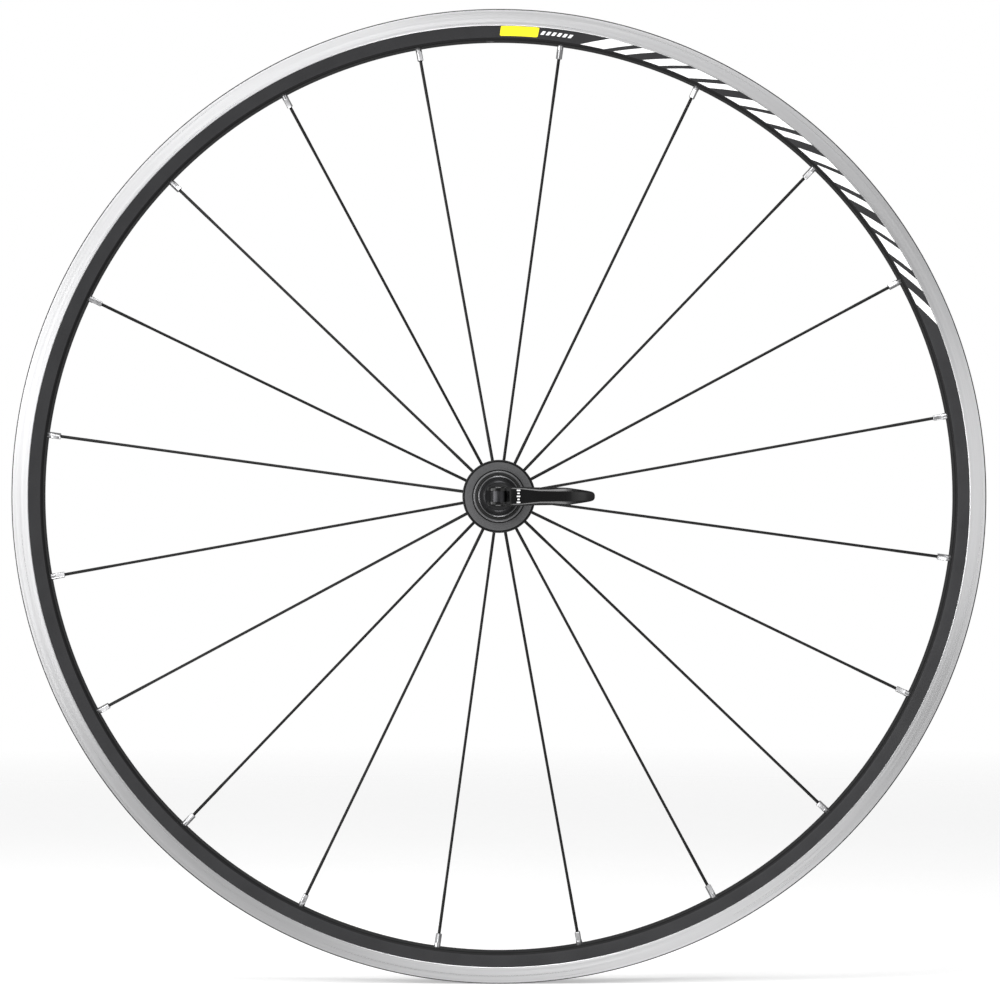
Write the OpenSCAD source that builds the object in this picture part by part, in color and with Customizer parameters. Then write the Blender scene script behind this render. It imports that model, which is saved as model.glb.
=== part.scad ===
// Front wheel of a rim-brake road bicycle, with its quick-release skewer.
// Millimetres. The origin is the wheel's centre, +Y runs along the axle towards the skewer's nut
// and +Z is up. The skewer's lever is on the -Y side, which is the left side of the bicycle.

/* [Rim] */
// Diameter of the tyre's bead seat
bead_seat_d = 622; // [559:1:622]
// Height of each flange above the bead seat
flange_h = 6; // [5.8:0.1:6.4]
// Radial height of the rim's section
rim_h = 20; // [19:0.5:24]
// Width over the two brake tracks
rim_w = 22; // [21.5:0.5:24]
// Width between the flanges
inner_w = 17; // [16.5:0.5:17]
// Radial height of each brake track
track_h = 10.5; // [10:0.5:11]
// Turn of the whole rotating part about the axle, clockwise as seen from the lever's side
wheel_turn = -1.2; // [-9:0.1:9]

/* [Spokes] */
// Number of spokes, half of them on each flange
spoke_count = 20; // [16:2:20]
// Diameter of a spoke at its ends
spoke_d = 2.0; // [1.9:0.05:2.05]
// Diameter of a spoke between its butted ends
spoke_mid_d = 1.8; // [1.5:0.1:1.8]

/* [Hub] */
// Width over the two faces that the fork's dropouts rest on
over_faces = 100; // [100:1:104]
// Diameter of the hub's flanges
hub_flange_d = 47; // [47:1:52]
// Diameter of the hub's barrel at its waist
barrel_d = 21; // [21:1:26]
// Diameter of the axle's ends
axle_end_d = 9; // [8.6:0.1:9]
// How far each axle end stands out past its face
axle_end_l = 4; // [3.5:0.5:5]

/* [Quick release] */
// Distance from each face of the hub to the clamp that faces it
dropout_gap = 7; // [6.5:0.5:8]
// Diameter of the skewer's rod
rod_d = 5; // [4.8:0.1:5]
// Length of the lever from its pivot to its tip
lever_l = 60.8; // [58:0.2:64]
// Travel that the cam gives per degree of the lever's turn
cam_rise = 0.0125; // [0.01:0.0005:0.0125]

/* [Hidden] */
$fn = 96;
eps = 0.01;

// Rim, in radius and half width
r_tip = bead_seat_d / 2 + flange_h;
r_seat = bead_seat_d / 2;
r_well = r_seat - 3;
r_inner = r_tip - rim_h;
r_track = r_tip - track_h;
r_floor = r_inner + 2.1;
wall_slope = 14.6;
wall_top_r = r_track - 0.3;
wall_top_y = rim_w / 2 - 0.35;
side_t = 1.45;
corner_r = 2.6;
valve_hole_d = 6.5;
access_hole_d = 8.6;
tape_t = 0.5;
skin_gap = 0.02;
skin_t = 0.08;

// Spoke line: it leaves the hub at head_r and reaches the rim's floor at r_floor
head_r = 20;
head_y = 35.6;
rim_offset = 1.2;
nipple_d = 4;
nipple_out = 10.7;
spoke_tilt = atan((head_y - rim_offset) / (r_floor - head_r));
spoke_run = (r_floor - head_r) / cos(spoke_tilt);

// Hub, along the axle
face_y = over_faces / 2;
flange_in_y = 32.6;
flange_out_y = 39.4;
bearing_d = 26;
bearing_bore = 10;
bearing_w = 8;
bearing_y = 37.5;
bearing_out_y = bearing_y + bearing_w / 2;
bearing_in_y = bearing_y - bearing_w / 2;
ball_d = 4.76;
ball_count = 7;
ball_pitch_r = (bearing_d + bearing_bore) / 4;
groove_in_r = 16.6;
groove_floor_y = 37.9;
boss_y = 43.5;
seal_bore_r = 14.9;
cap_r = 13.2;
axle_mid_d = 12.5;
axle_bore_d = 5.5;

// Quick release, measured outboard from the wheel's centre
clamp_y = face_y + dropout_gap;
cup_floor_y = clamp_y + 2.6;
cup_pocket_y = clamp_y + 3.8;
pivot_y = clamp_y + 14.5;
barrel_r = 5;
cam_h = 8.4;
cam_gap = 0.06;
fork_in = 3.5;
fork_out = 6.05;
fork_end_x = 6.8;
saddle_r = 8.6;
saddle_h = 1.8;
saddle_curve_r = 22;
saddle_bore_r = rod_d / 2 + 0.25;
cup_r = 9.3;
rod_end_y = clamp_y + 9.5;
nut_y = clamp_y + 1.8;
nut_end_y = clamp_y + 13;

function two_digits(i) = str(i < 10 ? "0" : "", i);
function spoke_name(i) = str("spoke_", two_digits(i));

BEARING_PIECES = ["outer_race", "inner_race", "balls", "cage", "seals"];

// ---------------------------------------------------------------- helpers

// Points of an arc about c, from angle a0 to a1
function arc(c, r, a0, a1, n = 6) =
    [for (i = [0:n]) let (a = a0 + (a1 - a0) * i / n) c + r * [cos(a), sin(a)]];

// A half outline with its mirror image below the first axis
function mirrored(half) =
    concat(half, [for (i = [len(half) - 1:-1:0]) if (half[i][1] > eps) [half[i][0], -half[i][1]]]);

// A smooth curve through the points p
function smooth(p, steps = 5) =
    let (n = len(p) - 1)
    concat(
        [for (i = [0:n - 1]) for (k = [0:steps - 1])
            let (t = k / steps,
                 a = p[max(i - 1, 0)], b = p[i], c = p[i + 1], d = p[min(i + 2, n)])
            0.5 * (2 * b + (c - a) * t + (2 * a - 5 * b + 4 * c - d) * t * t
                   + (3 * b - a - 3 * c + d) * t * t * t)],
        [p[n]]);

// Turns a shape drawn about Z so that it lies about the axle, its Z going to +Y
module on_axle() { rotate([-90, 0, 0]) children(); }

// A ring about the axle, from its outline in [radius, position along +Y]
module turned(outline) { on_axle() rotate_extrude($fn = 180) polygon(outline); }

// Turns a shape about the axle by a degrees, clockwise from the lever's side
module clock(a) { rotate([0, a, 0]) children(); }

// Puts a shape drawn for the right side on the given side: 1 is right, -1 is left
module side(s) { if (s > 0) children(); else mirror([0, 1, 0]) children(); }

// ---------------------------------------------------------------- rim

// Half width of the painted wall at radius r
function wall_y(r) = wall_top_y - (wall_top_r - r) * tan(wall_slope);

corner_c = [
    r_inner + corner_r,
    wall_y(r_inner + corner_r - corner_r * sin(wall_slope)) - corner_r * cos(wall_slope)];

bed = [
    [r_seat + 0.9, inner_w / 2], [r_seat + 0.3, inner_w / 2 - 0.25], [r_seat, inner_w / 2 - 0.8],
    [r_seat, inner_w / 2 - 1.6], [r_well + 0.2, inner_w / 2 - 3.2], [r_well, inner_w / 2 - 3.6]];

hook_r = 1.1;
rim_outline = mirrored(concat(
    [[r_inner, 0]],
    arc(corner_c, corner_r, 180, 90 + wall_slope, 8),
    [[wall_top_r, wall_top_y], [r_track, rim_w / 2]],
    arc([r_tip - 0.8, rim_w / 2 - 0.8], 0.8, 90, 0, 5),
    arc([r_tip - hook_r, inner_w / 2 - 0.7 + hook_r], hook_r, 0, -150, 8),
    [[r_tip - 2.6, inner_w / 2]],
    bed,
    [[r_well, 0]]));

cavity_top_r = r_well - 1.5;
cavity_outline = mirrored([
    [r_floor, 0], [r_floor, 6.7], [r_floor + 0.8, wall_y(r_floor + 0.8) - side_t],
    [wall_top_r - 0.2, wall_y(wall_top_r - 0.2) - side_t], [r_track + 0.2, rim_w / 2 - 1.7],
    [r_seat - 2.1, rim_w / 2 - 1.7], [r_seat - 1.5, inner_w / 2 + 0.2],
    [r_seat - 1.5, inner_w / 2 - 1.5], [cavity_top_r + 0.1, inner_w / 2 - 3.5],
    [cavity_top_r, inner_w / 2 - 3.9], [cavity_top_r, 0]]);

module rim() {
    color("silver")
    difference() {
        turned(rim_outline);
        turned(cavity_outline);
        for (i = [1:spoke_count]) along_spoke(i) nipple_holes();
        clock(wheel_turn) translate([0, 0, r_inner - 4]) cylinder(d = valve_hole_d, h = 24);
    }
}

// The hole and seat for one nipple, and the hole in the tyre bed that it goes in through
module nipple_holes() {
    translate([0, 0, spoke_run - 8]) cylinder(d = nipple_d + 0.5, h = 10);
    translate([0, 0, spoke_run]) cylinder(d = 6.4, h = 3);
    translate([0, 0, spoke_run + 5]) cylinder(d = access_hole_d, h = 8);
}

module rim_tape() {
    bed_half = concat([[r_seat, inner_w / 2 - 1.1]], [for (i = [3:5]) bed[i]], [[r_well, 0]]);
    lower = [for (i = [len(bed_half) - 1:-1:0]) bed_half[i] + [skin_gap, 0]];
    upper = [for (p = bed_half) p + [skin_gap + tape_t, 0]];
    color("dimgray")
    difference() {
        turned(mirrored(concat(lower, upper)));
        clock(wheel_turn) translate([0, 0, r_well - 2]) cylinder(d = valve_hole_d + 1.5, h = 8);
    }
}

// The plug that joins the ends of the bent extrusion, opposite the valve hole
module rim_joint_sleeve() {
    gap = 0.15;
    span = 9;
    top_half_w = 8.95;
    outline = mirrored([
        [r_floor + gap, 0], [r_floor + gap, 6.4],
        [r_floor + 1, wall_y(r_floor + 1) - side_t - gap],
        [wall_top_r - 0.4, wall_y(wall_top_r - 0.4) - side_t - gap],
        [cavity_top_r - gap, top_half_w], [cavity_top_r - gap, 0]]);
    color("gainsboro")
    clock(wheel_turn + 180) on_axle() rotate([0, 0, -90 - span / 2])
        rotate_extrude(angle = span, $fn = 180) polygon(outline);
}

// ---------------------------------------------------------------- graphics on the painted walls

// Angles along the wall are counted from the valve hole. The bars follow a plain rhythm of
// [length, gap after it] in degrees, and lean forward between their inner and outer ends.
graphic_start = 11.4;
bar_rhythm = [[3.0, 1.2], [1.6, 2.2], [2.2, 1.0]];
bar_count = 15;
bar_lean = 3.4;
graphic_r0 = r_inner + 1.9;
graphic_r1 = wall_top_r - 0.1;
label_start = 1.3;
label_span = 4.7;
label_lean = 0.15;
label_r0 = r_inner + 2.7;
label_r1 = wall_top_r - 0.3;

function bar(i) = bar_rhythm[i % len(bar_rhythm)];
function bar_at(i) = i == 0 ? graphic_start : bar_at(i - 1) + bar(i - 1)[0] + bar(i - 1)[1];

// A skin on the left painted wall between two radii
module wall_skin(r0, r1) {
    side(-1) turned([
        [r0, wall_y(r0) + skin_gap], [r1, wall_y(r1) + skin_gap],
        [r1, wall_y(r1) + skin_gap + skin_t], [r0, wall_y(r0) + skin_gap + skin_t]]);
}

// A prism through the wheel that covers one leaning patch of the wall, a little past both radii
module patch(start, span, lean, r0, r1) {
    under = r0 - 0.6;
    over = r1 + 1.2;
    lean_rate = lean / (r1 - r0);
    low = start + lean_rate * (under - r0);
    high = start + lean_rate * (over - r0);
    function at(r, a) = r * [sin(a), cos(a)];
    rotate([90, 0, 0]) linear_extrude(height = rim_w)
        polygon([at(under, low), at(under, low + span), at(over, high + span), at(over, high)]);
}

module graphic() {
    color("white")
    intersection() {
        wall_skin(graphic_r0, graphic_r1);
        for (i = [0:bar_count - 1])
            patch(bar_at(i), bar(i)[0], bar_lean, graphic_r0, graphic_r1);
    }
}

module label() {
    color("gold")
    intersection() {
        wall_skin(label_r0, label_r1);
        patch(label_start, label_span, label_lean, label_r0, label_r1);
    }
}

// The graphics on the other wall are the same, seen from the other side
module on_wall(s) { clock(wheel_turn) if (s < 0) children(); else rotate([0, 0, 180]) children(); }

// ---------------------------------------------------------------- spokes and nipples

function spoke_angle(i) = wheel_turn + (i - 0.5) * 360 / spoke_count;
function spoke_side(i) = i % 2 == 1 ? 1 : -1;

// Spoke i's own frame: the origin at its head's seat in the hub, +Z out along the spoke
module along_spoke(i) {
    s = spoke_side(i);
    clock(spoke_angle(i)) translate([0, s * head_y, head_r]) rotate([s * spoke_tilt, 0, 0])
        children();
}

module spoke(i) {
    r = spoke_d / 2;
    m = spoke_mid_d / 2;
    color("#202022")
    along_spoke(i) rotate_extrude($fn = 32) polygon([
        [0, -2.6], [1.5, -2.6], [1.9, -2.2], [1.9, -0.5], [r, -0.4],
        [r, 18], [m, 26], [m, spoke_run - 44], [r, spoke_run - 36],
        [r, spoke_run + 0.4], [0, spoke_run + 0.4]]);
}

module nipple() {
    flats_l = 6.2;
    flats_w = 3.3;
    color("lightgray")
    difference() {
        union() {
            translate([0, 0, -nipple_out]) intersection() {
                cylinder(d = nipple_d + 0.1, h = flats_l);
                translate([-flats_w / 2, -flats_w / 2, 0]) cube([flats_w, flats_w, flats_l]);
            }
            translate([0, 0, flats_l - nipple_out]) cylinder(d = nipple_d, h = nipple_out - flats_l);
            rotate_extrude($fn = 48) polygon([
                [0, 0], [3, 0], [3, 1], [2.7, 1.7], [2, 2.2], [0, 2.4]]);
        }
        translate([0, 0, -nipple_out - 1]) cylinder(d = spoke_d + 0.04, h = nipple_out + 5);
        translate([-0.5, -4, 1.4]) cube([1, 8, 2]);
    }
}

// Nipples of one flange's spokes; each is left at its own turn
module nipples(s) {
    for (i = [1:spoke_count])
        if (spoke_side(i) == s)
            along_spoke(i) translate([0, 0, spoke_run]) rotate([0, 0, (i * 37) % 90]) nipple();
}

// ---------------------------------------------------------------- hub

hub_bore_r = 8.5;
joint_y = 28;
spigot_r = 10.2;
spigot_l = 5;
race_step_r = 11.4;

// The hub's outside from its barrel to its flange, in runs of waist_steps points
waist_steps = 4;
waist = smooth(
    [[barrel_d / 2, 14], [barrel_d / 2 + 0.6, 21], [14, joint_y], [16.3, flange_in_y - 0.4]],
    waist_steps);

barrel_outline = mirrored(concat(
    [[barrel_d / 2, 0]],
    [for (i = [0:2 * waist_steps]) waist[i]],
    [[spigot_r, joint_y], [spigot_r, joint_y - spigot_l], [hub_bore_r, joint_y - spigot_l],
     [hub_bore_r, 0]]));

flange_outline = concat(
    [for (i = [2 * waist_steps:3 * waist_steps]) waist[i]],
    [[groove_in_r, flange_in_y - 0.2], [groove_in_r, groove_floor_y], [head_r, groove_floor_y],
     [head_r, flange_in_y]],
    arc([hub_flange_d / 2 - 0.9, flange_in_y + 0.9], 0.9, -90, 0, 4),
    arc([hub_flange_d / 2 - 0.9, flange_out_y - 0.9], 0.9, 0, 90, 4),
    [[16.9, flange_out_y], [16.7, flange_out_y - 0.5], [16.4, flange_out_y - 0.5],
     [16.4, boss_y - 0.5], [15.9, boss_y], [seal_bore_r + 0.3, boss_y],
     [seal_bore_r, boss_y - 0.3], [seal_bore_r, bearing_out_y], [bearing_d / 2, bearing_out_y],
     [bearing_d / 2, bearing_in_y], [race_step_r, bearing_in_y], [race_step_r, bearing_in_y - 1],
     [hub_bore_r, bearing_in_y - 4], [hub_bore_r, joint_y - spigot_l],
     [spigot_r, joint_y - spigot_l], [spigot_r, joint_y]]);

module hub_barrel() { color("#38383b") turned(barrel_outline); }

// One end of the hub: it carries a bearing and one side's spokes, and its spigot fits the barrel
module hub_flange(s) {
    color("#38383b")
    difference() {
        side(s) turned(flange_outline);
        for (i = [1:spoke_count])
            if (spoke_side(i) == s) along_spoke(i) spoke_slot(s);
    }
}

// A radial slot, open towards the hub's middle, that one spoke is laid into
module spoke_slot(s) {
    w = spoke_d + 0.3;
    translate([0, 0, -0.7]) cylinder(d = w, h = 6, $fn = 32);
    translate([-w / 2, s > 0 ? -6 : 0, -0.7]) cube([w, 6, 6]);
}

// The ring that closes the groove and keeps the spokes' heads in it
module spoke_retainer() {
    color("#18181a")
    turned([
        [groove_in_r + 0.1, flange_in_y + 0.1], [head_r - 0.15, flange_in_y + 0.1],
        [head_r - 0.15, flange_in_y + 0.85], [groove_in_r + 0.1, flange_in_y + 0.85]]);
}

module hub_seal() {
    color("#101010")
    turned([
        [cap_r + 0.25, boss_y - 0.5], [cap_r + 0.25, boss_y - 1.0], [cap_r + 0.7, bearing_out_y + 0.1],
        [seal_bore_r, bearing_out_y + 0.1], [seal_bore_r, boss_y - 0.5]]);
}

module hub_axle() {
    end_y = face_y + axle_end_l;
    color("silver")
    turned(mirrored([
        [axle_mid_d / 2, 0], [axle_mid_d / 2, bearing_in_y], [bearing_bore / 2, bearing_in_y],
        [bearing_bore / 2, face_y], [axle_end_d / 2, face_y],
        [axle_end_d / 2, end_y - 0.4], [axle_end_d / 2 - 0.4, end_y], [axle_bore_d / 2, end_y]]));
}

module end_cap() {
    color("#1c1c1f")
    turned([
        [bearing_bore / 2, bearing_out_y], [6.8, bearing_out_y], [6.8, bearing_out_y + 0.5],
        [cap_r, bearing_out_y + 0.5], [cap_r, 44.4], [cap_r - 0.5, 44.9],
        [9.9, face_y - 0.6], [9.3, face_y], [bearing_bore / 2, face_y]]);
}

// ---------------------------------------------------------------- bearings

race_land = 2.3;
ball_gap = 0.05;
seal_t = 0.6;

module ball_channel() {
    on_axle() translate([0, 0, bearing_y]) rotate_extrude($fn = 90)
        translate([ball_pitch_r, 0]) circle(d = ball_d + 2 * ball_gap, $fn = 48);
}

module at_balls() {
    for (k = [0:ball_count - 1])
        clock(k * 360 / ball_count) translate([0, bearing_y, ball_pitch_r]) children();
}

module outer_race() {
    land_r = ball_pitch_r + race_land;
    seal_r = land_r + 0.5;
    half = bearing_w / 2;
    color("gainsboro")
    difference() {
        turned([
            [land_r, bearing_y - half + 0.8], [seal_r, bearing_y - half + 0.8],
            [seal_r, bearing_y - half], [bearing_d / 2, bearing_y - half],
            [bearing_d / 2, bearing_y + half], [seal_r, bearing_y + half],
            [seal_r, bearing_y + half - 0.8], [land_r, bearing_y + half - 0.8]]);
        ball_channel();
    }
}

module inner_race() {
    land_r = ball_pitch_r - race_land;
    color("gainsboro")
    difference() {
        turned([
            [bearing_bore / 2, bearing_in_y], [land_r, bearing_in_y],
            [land_r, bearing_out_y], [bearing_bore / 2, bearing_out_y]]);
        ball_channel();
    }
}

module balls() { color("white") at_balls() sphere(d = ball_d, $fn = 48); }

module cage() {
    half = 2.6;
    color("darkgoldenrod")
    difference() {
        turned([
            [ball_pitch_r - 0.8, bearing_y - half], [ball_pitch_r + 0.8, bearing_y - half],
            [ball_pitch_r + 0.8, bearing_y + half], [ball_pitch_r - 0.8, bearing_y + half]]);
        at_balls() sphere(d = ball_d + 2 * ball_gap, $fn = 48);
    }
}

module bearing_seals() {
    in_r = ball_pitch_r - race_land + 0.1;
    out_r = ball_pitch_r + race_land + 0.5;
    color("#202020")
    for (y = [bearing_in_y + 0.15, bearing_out_y - 0.15 - seal_t])
        turned([[in_r, y], [out_r, y], [out_r, y + seal_t], [in_r, y + seal_t]]);
}

module bearing_piece(name) {
    if (name == "outer_race") outer_race();
    if (name == "inner_race") inner_race();
    if (name == "balls") balls();
    if (name == "cage") cage();
    if (name == "seals") bearing_seals();
}

// ---------------------------------------------------------------- quick release

// The lever's frame: the origin on the cam's pivot, which runs along Z, and +Y outboard
module at_pivot() { translate([0, -pivot_y, 0]) mirror([0, 1, 0]) children(); }

module skewer_rod() {
    r = rod_d / 2;
    color("silver")
    turned([
        [0, -pivot_y - 3.4], [r, -pivot_y - 3.4], [r, rod_end_y - 0.5], [r - 0.5, rod_end_y],
        [0, rod_end_y]]);
}

module cam_barrel() {
    half = fork_out - 0.1;
    color("#2a2a2d")
    at_pivot() difference() {
        rotate_extrude() polygon([
            [0, -half], [barrel_r - 0.5, -half], [barrel_r, -half + 0.5],
            [barrel_r, half - 0.5], [barrel_r - 0.5, half], [0, half]]);
        translate([0, 3.5, 0]) rotate([90, 0, 0]) cylinder(d = rod_d + 0.04, h = 12);
    }
}

// Height of the cam over its pivot in the direction a, counted from the saddle's side in the sense
// that the lever opens. It falls evenly over the first half turn, which gives an even travel.
function cam_height(a) =
    a >= 0 ? cam_h - cam_rise * a
           : let (t = -a / 180) cam_h + cam_rise * 180 * t
             - 2 * cam_rise * 180 * t * t * (3 - 2 * t);
function cam_slope(a) = (cam_height(a + 0.01) - cam_height(a - 0.01)) / 0.02 * 180 / PI;

// Outline of the cam: the curve whose tangent in each direction stands cam_height away
cam_outline = [for (a = [-177:6:177])
    let (n = [-sin(a), -cos(a)], t = [-cos(a), sin(a)]) cam_height(a) * n + cam_slope(a) * t];

// The lever from its side: outboard edge, then inboard edge, in [along the lever, outboard]
lever_top = smooth([
    [-1, 5.6], [4, 5.2], [9, 4.1], [15, 4.0], [24, 4.6], [34, 4.4], [44, 3.2], [52, 1.5],
    [58, -0.5], [lever_l, -1.8]]);
lever_bottom = smooth([
    [lever_l, -3.4], [56, -3.0], [48, -1.4], [38, -0.2], [28, 0.0], [18, -0.8], [10, -2.2],
    [4, -4.0]]);
// Half the lever's width along its length
lever_half_width = smooth([
    [-9, 5.7], [0, fork_out], [12, 6.0], [22, 5.75], [34, 5.6], [42, 5.55], [48, 4.85],
    [54, 3.95], [58, 3.2], [60, 2.4], [lever_l, 1.0]]);

module cam_lever() {
    color("#1a1a1c")
    at_pivot() difference() {
        intersection() {
            union() for (outline = [cam_outline, concat(lever_top, lever_bottom)])
                translate([0, 0, -fork_out]) linear_extrude(height = 2 * fork_out)
                    polygon(outline);
            rotate([90, 0, 0]) translate([0, 0, -12]) linear_extrude(height = 24)
                polygon(mirrored(lever_half_width));
        }
        translate([-12, -12, -fork_in]) cube([12 + fork_end_x, 24, 2 * fork_in]);
        translate([0, 0, -12]) cylinder(r = barrel_r + 0.05, h = 24);
    }
}

module cam_saddle() {
    top = pivot_y - cam_h - cam_gap;
    color("#29292b")
    difference() {
        turned([
            [saddle_bore_r, -top - saddle_h], [saddle_r, -top - saddle_h],
            [saddle_r, -cup_pocket_y - 0.02], [saddle_bore_r, -cup_pocket_y - 0.02]]);
        translate([0, -top - saddle_curve_r, -12]) cylinder(r = saddle_curve_r, h = 24);
    }
}

module clamp_cup() {
    color("#3a3a3c")
    side(-1) difference() {
        turned([
            [saddle_bore_r, cup_floor_y], [6.4, cup_floor_y], [6.4, clamp_y],
            [cup_r - 0.4, clamp_y], [cup_r, clamp_y + 0.4], [cup_r, clamp_y + 5],
            [cup_r - 0.3, clamp_y + 5.3], [saddle_r + 0.04, clamp_y + 5.3],
            [saddle_r + 0.04, cup_pocket_y], [saddle_bore_r, cup_pocket_y]]);
        serrations();
    }
}

// Radial notches in a clamping face
module serrations() {
    count = 24;
    depth = 0.3;
    width = 0.8;
    from_r = 5;
    for (k = [0:count - 1])
        clock((k + 0.5) * 360 / count) translate([-width / 2, clamp_y - 1, from_r])
            cube([width, 1 + depth, cup_r + 2 - from_r]);
}

// A conical spring of round wire between the axle's end and the clamp
module skewer_spring() {
    wire_r = 0.35;
    turns = 3.5;
    rings = 77;
    sides = 8;
    y0 = face_y + axle_end_l + wire_r + 0.05;
    y1 = cup_floor_y - wire_r - 0.05;
    function centre(t) =
        let (r = 3.4 + 2.1 * t, a = 360 * turns * t) [r * cos(a), y0 + (y1 - y0) * t, r * sin(a)];
    function ring(t) =
        let (a = 360 * turns * t, c = centre(t), out = [cos(a), 0, sin(a)])
        [for (k = [0:sides - 1])
            let (b = 360 * k / sides) c + wire_r * (cos(b) * out + sin(b) * [0, 1, 0])];
    points = [for (i = [0:rings]) for (p = ring(i / rings)) p];
    color("silver")
    polyhedron(points, concat(
        [[for (k = [0:sides - 1]) k]],
        [for (i = [0:rings - 1]) for (k = [0:sides - 1])
            let (a = i * sides + k, b = i * sides + (k + 1) % sides)
            [b, a, a + sides, b + sides]],
        [[for (k = [sides - 1:-1:0]) rings * sides + k]]));
}

// The nut's threaded bore, the step that carries its grip washer, and the pocket for its lock ring
nut_bore_r = rod_d / 2 + 0.05;
washer_in_r = 6.4;
lock_pocket_r = 4.4;
lock_pocket_y = nut_end_y - 3;

module skewer_nut() {
    flutes = 8;
    flute_r = 3.2;
    color("#2a2a2d")
    difference() {
        turned([
            [nut_bore_r, nut_y + 1.6], [washer_in_r, nut_y + 1.6], [washer_in_r, nut_y],
            [cup_r, nut_y], [cup_r, nut_y + 1.2], [cup_r - 0.4, nut_y + 1.8],
            [7.5, nut_end_y - 0.9], [6.7, nut_end_y], [lock_pocket_r, nut_end_y],
            [lock_pocket_r, lock_pocket_y], [nut_bore_r, lock_pocket_y]]);
        for (k = [0:flutes - 1])
            clock((k + 0.5) * 360 / flutes) translate([0, nut_y + 3, cup_r + 2])
                rotate([-83, 0, 0]) cylinder(r = flute_r, h = 14);
    }
}

module nut_grip_washer() {
    color("silver")
    difference() {
        turned([
            [washer_in_r, clamp_y], [cup_r - 0.4, clamp_y], [cup_r, clamp_y + 0.4],
            [cup_r, nut_y], [washer_in_r, nut_y]]);
        serrations();
    }
}

module nut_lock_ring() {
    color("royalblue")
    turned([
        [nut_bore_r, lock_pocket_y], [lock_pocket_r - 0.02, lock_pocket_y],
        [lock_pocket_r - 0.02, nut_end_y - 1], [nut_bore_r, nut_end_y - 1]]);
}

// ---------------------------------------------------------------- nodes

rim();
rim_tape();
rim_joint_sleeve();
on_wall(-1) graphic();  // rim_graphic_left
on_wall(1) graphic();  // rim_graphic_right
on_wall(-1) label();  // rim_label_left
on_wall(1) label();  // rim_label_right
for (i = [1:spoke_count]) spoke(i);
nipples(-1);  // nipples_left
nipples(1);  // nipples_right
hub_barrel();
hub_flange(-1);  // hub_flange_left
hub_flange(1);  // hub_flange_right
side(-1) spoke_retainer();  // spoke_retainer_left
side(1) spoke_retainer();  // spoke_retainer_right
side(-1) hub_seal();  // hub_seal_left
side(1) hub_seal();  // hub_seal_right
hub_axle();
side(-1) end_cap();  // end_cap_left
side(1) end_cap();  // end_cap_right
for (p = BEARING_PIECES) side(-1) bearing_piece(p);
for (p = BEARING_PIECES) side(1) bearing_piece(p);
skewer_rod();
cam_barrel();
cam_lever();
cam_saddle();
clamp_cup();
side(-1) skewer_spring();  // skewer_spring_left
side(1) skewer_spring();  // skewer_spring_right
skewer_nut();
nut_grip_washer();
nut_lock_ring();
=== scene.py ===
import math

import bmesh
import bpy
from mathutils import Matrix, Vector


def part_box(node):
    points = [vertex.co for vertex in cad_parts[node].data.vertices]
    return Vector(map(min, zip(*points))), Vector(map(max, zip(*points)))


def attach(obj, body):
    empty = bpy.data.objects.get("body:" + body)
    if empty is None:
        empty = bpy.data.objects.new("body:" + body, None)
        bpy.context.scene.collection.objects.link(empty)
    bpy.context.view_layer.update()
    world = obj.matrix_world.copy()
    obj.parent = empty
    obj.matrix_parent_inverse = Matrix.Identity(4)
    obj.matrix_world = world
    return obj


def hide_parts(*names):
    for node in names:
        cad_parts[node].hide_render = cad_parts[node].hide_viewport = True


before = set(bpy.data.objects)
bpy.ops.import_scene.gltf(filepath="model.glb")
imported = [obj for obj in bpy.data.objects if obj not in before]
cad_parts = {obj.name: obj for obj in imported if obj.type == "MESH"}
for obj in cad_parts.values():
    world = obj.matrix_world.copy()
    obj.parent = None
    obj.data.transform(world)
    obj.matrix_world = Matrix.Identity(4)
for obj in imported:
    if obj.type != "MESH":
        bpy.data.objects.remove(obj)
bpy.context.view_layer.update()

# A road bicycle's bare front wheel and its quick-release skewer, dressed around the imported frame.
#
# The frame's axes are used throughout: +Y runs along the axle from the skewer's lever to its nut, and +Z
# is up. Shapes are written in millimetres and become metres where a mesh is made.

MM = 0.001
WELD = 1e-7  # points closer than this, in metres, become one
SIDES = ((-1, "left"), (1, "right"))


# ---------------------------------------------------------------- sizes, from the frame


def reach(node, axis, side=1):
    """How far a CAD node reaches along an axis (0, 1, 2), on the given side, in millimetres."""
    low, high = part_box(node)
    return (high[axis] if side > 0 else low[axis]) / MM


RIM_R = round(reach("rim", 2), 1)
RIM_HALF_W = reach("rim", 1)
FLANGE_R = reach("hub_flange_right", 2)
BOSS_Y = reach("hub_flange_right", 1)
CAP_R = round(reach("end_cap_right", 2), 1)
FACE_Y = reach("end_cap_right", 1)
AXLE_END_Y = reach("hub_axle", 1)
CLAMP_Y = -reach("clamp_cup", 1)
LEVER_TIP_X = reach("cam_lever", 0)
FORK_OUT = reach("cam_lever", 2)
PIVOT_Y = -(reach("cam_barrel", 1) + reach("cam_barrel", 1, -1)) / 2

# The rim's section: radii of the tyre's seat and well, of the inner edge, the track's lower edge and the
# cavity's floor, then the painted wall's upper edge and slope, and half the width between the flanges
SEAT_R = RIM_R - 6
WELL_R = SEAT_R - 3
INNER_R = RIM_R - 20
TRACK_R = RIM_R - 10.5
FLOOR_R = INNER_R + 2.1
WALL_TOP_R = TRACK_R - 0.3
WALL_TOP_Y = RIM_HALF_W - 0.35
WALL_SLOPE = math.tan(math.radians(14.6))
CHANNEL_HALF_W = 8.5

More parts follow.
